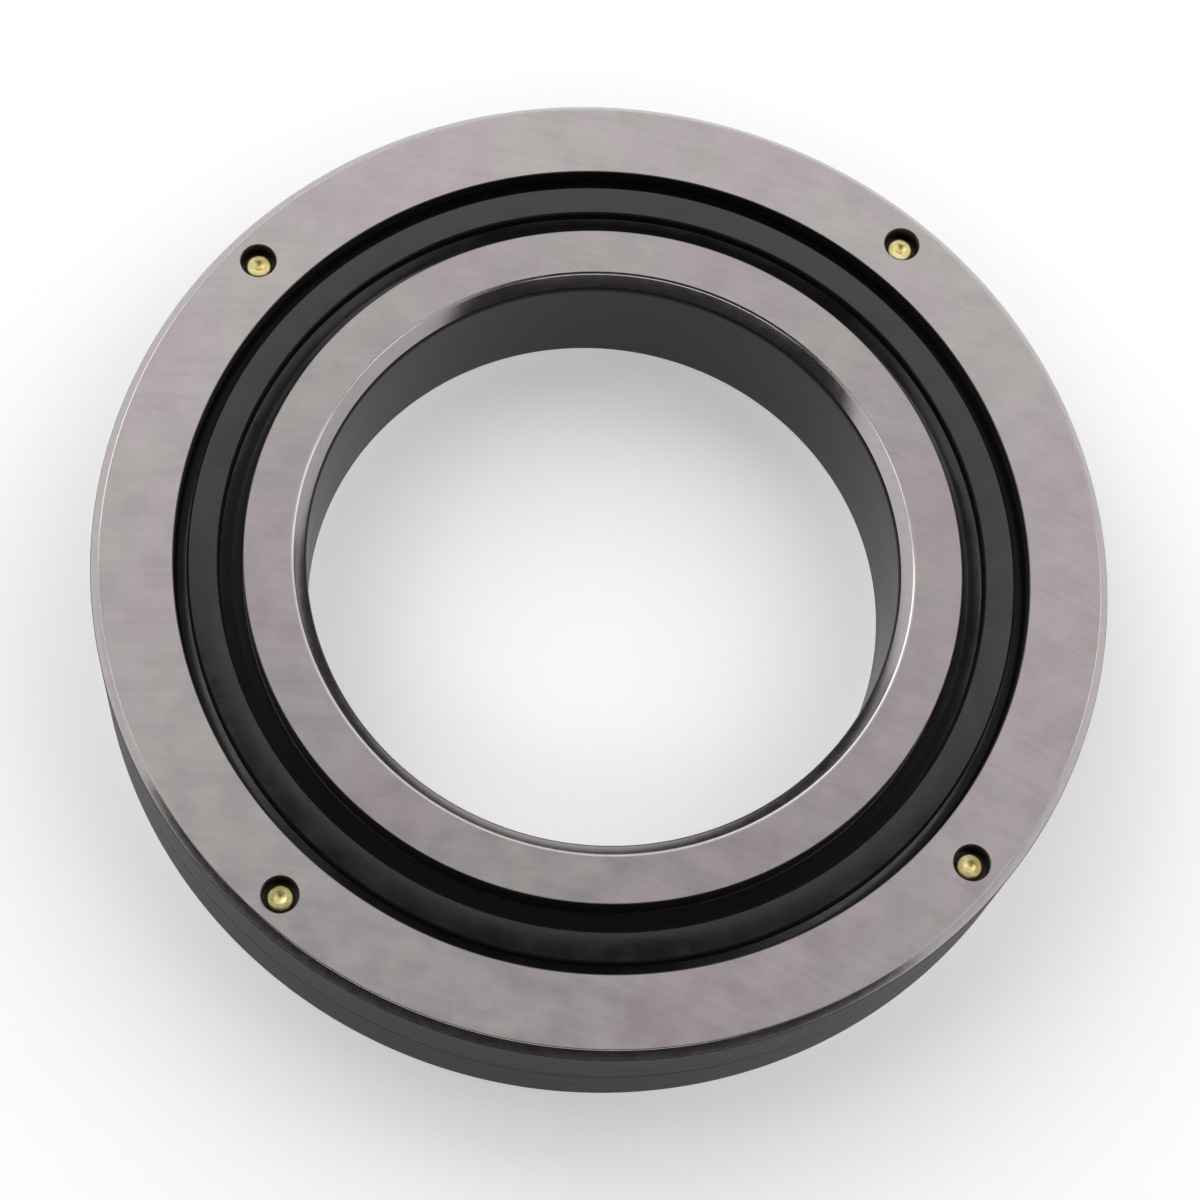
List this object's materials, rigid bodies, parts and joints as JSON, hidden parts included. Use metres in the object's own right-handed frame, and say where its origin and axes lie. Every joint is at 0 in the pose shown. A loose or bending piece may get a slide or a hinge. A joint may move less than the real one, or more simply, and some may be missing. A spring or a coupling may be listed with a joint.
{
  "type": "crossed roller bearing",
  "caption": "Sealed crossed roller bearing: a split, riveted outer ring and a one-piece inner ring on rollers that lean in turn, with moulded spacers.",
  "frame": {"origin": "centre of the bearing, on its axis and at mid-width", "axes": "+Z along the bearing's axis, out of the face that the picture shows; +X through a grease hole, midway between two rivets"},
  "size_m": [0.06, 0.06, 0.01],
  "materials": {
    "ring_steel": "ground, oiled",
    "roller_steel": "superfinished",
    "rivet_brass": "upset head, satin",
    "seal_rubber": "moulded, matte",
    "spacer_plastic": "moulded, natural"
  },
  "bodies": {
    "outer_ring": {"outer_ring_upper": "ring_steel", "outer_ring_lower": "ring_steel", "seal_upper": "seal_rubber", "seal_lower": "seal_rubber", "rivet_1": "rivet_brass", "rivet_2": "rivet_brass", "rivet_3": "rivet_brass", "rivet_4": "rivet_brass"},
    "inner_ring": {"inner_ring": "ring_steel"},
    "spacer_train": {"spacer_01": "spacer_plastic", "spacer_02": "spacer_plastic", "spacer_03": "spacer_plastic", "spacer_04": "spacer_plastic", "spacer_05": "spacer_plastic", "spacer_06": "spacer_plastic", "spacer_07": "spacer_plastic", "spacer_08": "spacer_plastic", "spacer_09": "spacer_plastic", "spacer_10": "spacer_plastic", "spacer_11": "spacer_plastic", "spacer_12": "spacer_plastic", "spacer_13": "spacer_plastic", "spacer_14": "spacer_plastic", "spacer_15": "spacer_plastic", "spacer_16": "spacer_plastic", "spacer_17": "spacer_plastic", "spacer_18": "spacer_plastic", "spacer_19": "spacer_plastic", "spacer_20": "spacer_plastic", "spacer_21": "spacer_plastic", "spacer_22": "spacer_plastic", "spacer_23": "spacer_plastic", "spacer_24": "spacer_plastic"},
    "roller_01_body": {"roller_01": "roller_steel"},
    "roller_02_body": {"roller_02": "roller_steel"},
    "roller_03_body": {"roller_03": "roller_steel"},
    "roller_04_body": {"roller_04": "roller_steel"},
    "roller_05_body": {"roller_05": "roller_steel"},
    "roller_06_body": {"roller_06": "roller_steel"},
    "roller_07_body": {"roller_07": "roller_steel"},
    "roller_08_body": {"roller_08": "roller_steel"},
    "roller_09_body": {"roller_09": "roller_steel"},
    "roller_10_body": {"roller_10": "roller_steel"},
    "roller_11_body": {"roller_11": "roller_steel"},
    "roller_12_body": {"roller_12": "roller_steel"},
    "roller_13_body": {"roller_13": "roller_steel"},
    "roller_14_body": {"roller_14": "roller_steel"},
    "roller_15_body": {"roller_15": "roller_steel"},
    "roller_16_body": {"roller_16": "roller_steel"},
    "roller_17_body": {"roller_17": "roller_steel"},
    "roller_18_body": {"roller_18": "roller_steel"},
    "roller_19_body": {"roller_19": "roller_steel"},
    "roller_20_body": {"roller_20": "roller_steel"},
    "roller_21_body": {"roller_21": "roller_steel"},
    "roller_22_body": {"roller_22": "roller_steel"},
    "roller_23_body": {"roller_23": "roller_steel"},
    "roller_24_body": {"roller_24": "roller_steel"}
  },
  "joints": [
    {"name": "inner_ring_spin", "type": "hinge", "parent": "outer_ring", "child": "inner_ring", "pos_m": [0, 0, 0], "axis": [0, 0, 1], "continuous": true},
    {"name": "spacer_train_spin", "type": "hinge", "parent": "outer_ring", "child": "spacer_train", "pos_m": [0, 0, 0], "axis": [0, 0, 1], "continuous": true},
    {"name": "roller_01_spin", "type": "hinge", "parent": "spacer_train", "child": "roller_01_body", "pos_m": [0.023, 0, 0], "axis": [0.7071, 0, 0.7071], "continuous": true},
    {"name": "roller_02_spin", "type": "hinge", "parent": "spacer_train", "child": "roller_02_body", "pos_m": [0.02222, 0.00595, 0], "axis": [-0.683, -0.183, 0.7071], "continuous": true},
    {"name": "roller_03_spin", "type": "hinge", "parent": "spacer_train", "child": "roller_03_body", "pos_m": [0.01992, 0.0115, 0], "axis": [0.6124, 0.3536, 0.7071], "continuous": true},
    {"name": "roller_04_spin", "type": "hinge", "parent": "spacer_train", "child": "roller_04_body", "pos_m": [0.01626, 0.01626, 0], "axis": [-0.5, -0.5, 0.7071], "continuous": true},
    {"name": "roller_05_spin", "type": "hinge", "parent": "spacer_train", "child": "roller_05_body", "pos_m": [0.0115, 0.01992, 0], "axis": [0.3536, 0.6124, 0.7071], "continuous": true},
    {"name": "roller_06_spin", "type": "hinge", "parent": "spacer_train", "child": "roller_06_body", "pos_m": [0.00595, 0.02222, 0], "axis": [-0.183, -0.683, 0.7071], "continuous": true},
    {"name": "roller_07_spin", "type": "hinge", "parent": "spacer_train", "child": "roller_07_body", "pos_m": [0, 0.023, 0], "axis": [0, 0.7071, 0.7071], "continuous": true},
    {"name": "roller_08_spin", "type": "hinge", "parent": "spacer_train", "child": "roller_08_body", "pos_m": [-0.00595, 0.02222, 0], "axis": [0.183, -0.683, 0.7071], "continuous": true},
    {"name": "roller_09_spin", "type": "hinge", "parent": "spacer_train", "child": "roller_09_body", "pos_m": [-0.0115, 0.01992, 0], "axis": [-0.3536, 0.6124, 0.7071], "continuous": true},
    {"name": "roller_10_spin", "type": "hinge", "parent": "spacer_train", "child": "roller_10_body", "pos_m": [-0.01626, 0.01626, 0], "axis": [0.5, -0.5, 0.7071], "continuous": true},
    {"name": "roller_11_spin", "type": "hinge", "parent": "spacer_train", "child": "roller_11_body", "pos_m": [-0.01992, 0.0115, 0], "axis": [-0.6124, 0.3536, 0.7071], "continuous": true},
    {"name": "roller_12_spin", "type": "hinge", "parent": "spacer_train", "child": "roller_12_body", "pos_m": [-0.02222, 0.00595, 0], "axis": [0.683, -0.183, 0.7071], "continuous": true},
    {"name": "roller_13_spin", "type": "hinge", "parent": "spacer_train", "child": "roller_13_body", "pos_m": [-0.023, 0, 0], "axis": [-0.7071, 0, 0.7071], "continuous": true},
    {"name": "roller_14_spin", "type": "hinge", "parent": "spacer_train", "child": "roller_14_body", "pos_m": [-0.02222, -0.00595, 0], "axis": [0.683, 0.183, 0.7071], "continuous": true},
    {"name": "roller_15_spin", "type": "hinge", "parent": "spacer_train", "child": "roller_15_body", "pos_m": [-0.01992, -0.0115, 0], "axis": [-0.6124, -0.3536, 0.7071], "continuous": true},
    {"name": "roller_16_spin", "type": "hinge", "parent": "spacer_train", "child": "roller_16_body", "pos_m": [-0.01626, -0.01626, 0], "axis": [0.5, 0.5, 0.7071], "continuous": true},
    {"name": "roller_17_spin", "type": "hinge", "parent": "spacer_train", "child": "roller_17_body", "pos_m": [-0.0115, -0.01992, 0], "axis": [-0.3536, -0.6124, 0.7071], "continuous": true},
    {"name": "roller_18_spin", "type": "hinge", "parent": "spacer_train", "child": "roller_18_body", "pos_m": [-0.00595, -0.02222, 0], "axis": [0.183, 0.683, 0.7071], "continuous": true},
    {"name": "roller_19_spin", "type": "hinge", "parent": "spacer_train", "child": "roller_19_body", "pos_m": [0, -0.023, 0], "axis": [0, -0.7071, 0.7071], "continuous": true},
    {"name": "roller_20_spin", "type": "hinge", "parent": "spacer_train", "child": "roller_20_body", "pos_m": [0.00595, -0.02222, 0], "axis": [-0.183, 0.683, 0.7071], "continuous": true},
    {"name": "roller_21_spin", "type": "hinge", "parent": "spacer_train", "child": "roller_21_body", "pos_m": [0.0115, -0.01992, 0], "axis": [0.3536, -0.6124, 0.7071], "continuous": true},
    {"name": "roller_22_spin", "type": "hinge", "parent": "spacer_train", "child": "roller_22_body", "pos_m": [0.01626, -0.01626, 0], "axis": [-0.5, 0.5, 0.7071], "continuous": true},
    {"name": "roller_23_spin", "type": "hinge", "parent": "spacer_train", "child": "roller_23_body", "pos_m": [0.01992, -0.0115, 0], "axis": [0.6124, -0.3536, 0.7071], "continuous": true},
    {"name": "roller_24_spin", "type": "hinge", "parent": "spacer_train", "child": "roller_24_body", "pos_m": [0.02222, -0.00595, 0], "axis": [-0.683, 0.183, 0.7071], "continuous": true}
  ],
  "couplings": [
    {"joint": "spacer_train_spin", "follows": "inner_ring_spin", "ratio": 0.46926},
    {"joint": "roller_01_spin", "follows": "inner_ring_spin", "ratio": -5.7283},
    {"joint": "roller_02_spin", "follows": "inner_ring_spin", "ratio": -5.7283},
    {"joint": "roller_03_spin", "follows": "inner_ring_spin", "ratio": -5.7283},
    {"joint": "roller_04_spin", "follows": "inner_ring_spin", "ratio": -5.7283},
    {"joint": "roller_05_spin", "follows": "inner_ring_spin", "ratio": -5.7283},
    {"joint": "roller_06_spin", "follows": "inner_ring_spin", "ratio": -5.7283},
    {"joint": "roller_07_spin", "follows": "inner_ring_spin", "ratio": -5.7283},
    {"joint": "roller_08_spin", "follows": "inner_ring_spin", "ratio": -5.7283},
    {"joint": "roller_09_spin", "follows": "inner_ring_spin", "ratio": -5.7283},
    {"joint": "roller_10_spin", "follows": "inner_ring_spin", "ratio": -5.7283},
    {"joint": "roller_11_spin", "follows": "inner_ring_spin", "ratio": -5.7283},
    {"joint": "roller_12_spin", "follows": "inner_ring_spin", "ratio": -5.7283},
    {"joint": "roller_13_spin", "follows": "inner_ring_spin", "ratio": -5.7283},
    {"joint": "roller_14_spin", "follows": "inner_ring_spin", "ratio": -5.7283},
    {"joint": "roller_15_spin", "follows": "inner_ring_spin", "ratio": -5.7283},
    {"joint": "roller_16_spin", "follows": "inner_ring_spin", "ratio": -5.7283},
    {"joint": "roller_17_spin", "follows": "inner_ring_spin", "ratio": -5.7283},
    {"joint": "roller_18_spin", "follows": "inner_ring_spin", "ratio": -5.7283},
    {"joint": "roller_19_spin", "follows": "inner_ring_spin", "ratio": -5.7283},
    {"joint": "roller_20_spin", "follows": "inner_ring_spin", "ratio": -5.7283},
    {"joint": "roller_21_spin", "follows": "inner_ring_spin", "ratio": -5.7283},
    {"joint": "roller_22_spin", "follows": "inner_ring_spin", "ratio": -5.7283},
    {"joint": "roller_23_spin", "follows": "inner_ring_spin", "ratio": -5.7283},
    {"joint": "roller_24_spin", "follows": "inner_ring_spin", "ratio": -5.7283}
  ]
}
